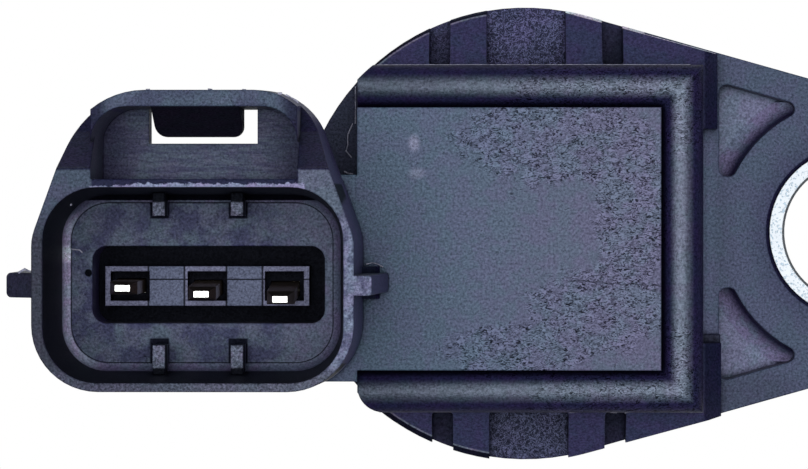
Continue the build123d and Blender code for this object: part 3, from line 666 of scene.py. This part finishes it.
def ridge(name, level, route, radius, waver=0.0):
    """A thin ridge of flash at one level, through points on the XY plane, in millimetres."""
    curve = bpy.data.curves.new(name, "CURVE")
    curve.dimensions = "3D"
    curve.bevel_depth = radius * MM
    curve.bevel_resolution = 1
    curve.use_fill_caps = True
    chance = random.Random(name)
    points = [Vector((x, y, level)) for x, y in route]
    path = []
    for start, end in zip(points, points[1:]):
        steps = max(1, int((end - start).length / WAVER_STEP)) if waver else 1
        path += [start.lerp(end, i / steps) for i in range(steps)]
    path.append(points[-1])
    line = curve.splines.new("POLY")
    line.points.add(len(path) - 1)
    for place, point in zip(path, line.points):
        shift = Vector((chance.uniform(-waver, waver), chance.uniform(-waver, waver), 0.0))
        point.co = (*((place + shift) * MM), 1.0)
        point.radius = chance.uniform(0.6, 1.3) if waver else 1.0
    piece = bpy.data.objects.new(name, curve)
    bpy.context.scene.collection.objects.link(piece)
    curve.materials.append(FLASH_AND_HIGHLIGHT)
    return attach(piece, "root")


# Painted highlight: a thin pale ridge along the bead's foot stands in for the light on that edge
ridge("seam_at_bead_foot", ON_ROOF_FOOT, ((-7.45, 8.41), (8.3, 8.41)), 0.035)
ridge("seam_in_wedge", ON_FLANGE, ((-8.60, 7.4), (-8.60, 5.5)), 0.03, 0.01)
ridge(
    "flash_in_wedge",
    ON_FLANGE,
    ((-8.76, 5.5), (-8.95, 4.9), (-8.97, 4.4), (-9.1, 4.1), (-8.85, 3.75)),
    0.03,
    0.05,
)
ridge("flash_at_wedge_end", ON_FLANGE, ((-9.2, 3.1), (-9.0, 2.96), (-8.7, 2.96)), 0.03, 0.02)
ridge(
    "flash_at_right_rib",
    ON_PLATEAU,
    ((-7.9, -1.6), (-7.65, -1.5), (-7.35, -1.58), (-7.1, -1.75)),
    0.035,
    0.03,
)
for number, (start, end) in enumerate(((2.2, 2.9), (4.3, 4.6), (5.0, 5.3), (8.0, 8.4)), 1):
    ridge("fleck_{}".format(number), ON_ROOF_FOOT, ((start, -9.05), (end, -9.05)), 0.04, 0.02)
ridge("flash_on_bridge", ON_BRIDGE, ((-11.5, 6.62), (-11.0, 6.38), (-10.9, 6.25)), 0.05, 0.02)
for number, (x, y) in enumerate(((-18.1, 6.86), (-15.1, 6.86), (-13.5, 6.86), (-11.75, 6.68)), 1):
    ridge("burr_{}".format(number), AT_BRIDGE_EDGE, ((x - 0.1, y), (x + 0.1, y)), 0.06, 0.03)
ridge("scuff_in_cavity", ON_CAVITY_FLOOR, ((-22.4, -0.80), (-22.0, -0.86), (-21.85, -0.98)), 0.035, 0.02)
ridge("speck_in_cavity", 18.0, ((-22.1, 1.35), (-22.04, 1.42)), 0.05, 0.01)
ridge("flash_at_left_rib", 20.5, ((-24.4, -1.88), (-24.1, -1.72), (-23.85, -1.8)), 0.05, 0.04)


# Floor and studio light
FLOOR_GREY = (0.8, 0.8, 0.8, 1.0)
FLOOR_SIZE = 3.0
FLOOR_GAP = 0.2
WORLD_COLOUR = (0.92, 0.95, 1.0, 1.0)
WORLD_STRENGTH = 0.15
LAMP_PLACE = Vector((-0.02, 0.02, 0.42))
LAMP_WIDTH = 0.42
LAMP_RADIANCE = 3.6
LAMP_COLOUR = (0.94, 0.97, 1.0)


def white_to_camera(tree, other):
    """Shows plain white to the camera and through glass, and the other shader to every other ray."""
    path = tree.nodes.new("ShaderNodeLightPath")
    seen = tree.nodes.new("ShaderNodeMath")
    seen.operation = "MAXIMUM"
    tree.links.new(path.outputs["Is Camera Ray"], seen.inputs[0])
    tree.links.new(path.outputs["Is Transmission Ray"], seen.inputs[1])
    white = tree.nodes.new("ShaderNodeEmission" if other.type != "BACKGROUND" else "ShaderNodeBackground")
    white.inputs["Color"].default_value = (1.0, 1.0, 1.0, 1.0)
    white.inputs["Strength"].default_value = 1.0
    mixed = tree.nodes.new("ShaderNodeMixShader")
    tree.links.new(seen.outputs[0], mixed.inputs[0])
    tree.links.new(other.outputs[0], mixed.inputs[1])
    tree.links.new(white.outputs[0], mixed.inputs[2])
    return mixed.outputs[0]


def add_floor():
    height = cad_box[0].z - FLOOR_GAP * MM
    bpy.ops.mesh.primitive_plane_add(size=FLOOR_SIZE, location=(0, 0, height))
    floor = bpy.context.object
    floor.name = "floor"
    material = bpy.data.materials.new("floor")
    material.use_nodes = True
    tree = material.node_tree
    tree.nodes.clear()
    paper = tree.nodes.new("ShaderNodeBsdfDiffuse")
    paper.inputs["Color"].default_value = FLOOR_GREY
    out = tree.nodes.new("ShaderNodeOutputMaterial")
    tree.links.new(white_to_camera(tree, paper), out.inputs["Surface"])
    floor.data.materials.append(material)


def add_world():
    world = bpy.data.worlds.new("studio")
    bpy.context.scene.world = world
    world.use_nodes = True
    tree = world.node_tree
    tree.nodes.clear()
    sky = tree.nodes.new("ShaderNodeBackground")
    sky.inputs["Color"].default_value = WORLD_COLOUR
    sky.inputs["Strength"].default_value = WORLD_STRENGTH
    out = tree.nodes.new("ShaderNodeOutputWorld")
    tree.links.new(white_to_camera(tree, sky), out.inputs["Surface"])


def add_lamp():
    """One wide round lamp overhead, which gives level faces their sheen and leaves slopes dark."""
    lamp = bpy.data.lights.new("overhead", "AREA")
    lamp.shape = "DISK"
    lamp.size = LAMP_WIDTH
    lamp.energy = LAMP_RADIANCE * math.pi * math.pi * (LAMP_WIDTH / 2) ** 2
    lamp.color = LAMP_COLOUR
    lamp_object = bpy.data.objects.new("overhead", lamp)
    bpy.context.scene.collection.objects.link(lamp_object)
    lamp_object.location = LAMP_PLACE
    lamp_object.rotation_euler = (-LAMP_PLACE).to_track_quat("-Z", "Y").to_euler()
    lamp_object.visible_camera = False


add_floor()
add_world()
add_lamp()


# Camera
# The photograph looks straight down the connector's mouth. Its frame is centred to the left of the
# point straight below the camera, and a little below that point.
CAMERA_PLACE = (-1.26, 1.37, 268.0)
FOCAL_PIXELS = 5161.0
FRAME_PIXELS = (808.0, 469.0)
PIXEL_BELOW_CAMERA = (500.0, 205.0)
SENSOR_WIDTH = 36.0


def add_camera():
    across = FRAME_PIXELS[0] / 2 - PIXEL_BELOW_CAMERA[0]
    down = FRAME_PIXELS[1] / 2 - PIXEL_BELOW_CAMERA[1]
    forward = Vector((across / FOCAL_PIXELS, -down / FOCAL_PIXELS, -1.0)).normalized()
    right = forward.cross(Vector((0.0, 1.0, 0.0))).normalized()
    upward = right.cross(forward)
    lens = bpy.data.cameras.new("camera")
    lens.sensor_width = SENSOR_WIDTH
    lens.lens = FOCAL_PIXELS / FRAME_PIXELS[0] * SENSOR_WIDTH
    lens.clip_start = 0.01
    lens.clip_end = 10.0
    camera = bpy.data.objects.new("camera", lens)
    bpy.context.scene.collection.objects.link(camera)
    camera.location = [along * MM for along in CAMERA_PLACE]
    camera.rotation_euler = Matrix((right, upward, -forward)).transposed().to_euler()
    bpy.context.scene.camera = camera


add_camera()
bpy.context.scene.view_settings.view_transform = "Standard"
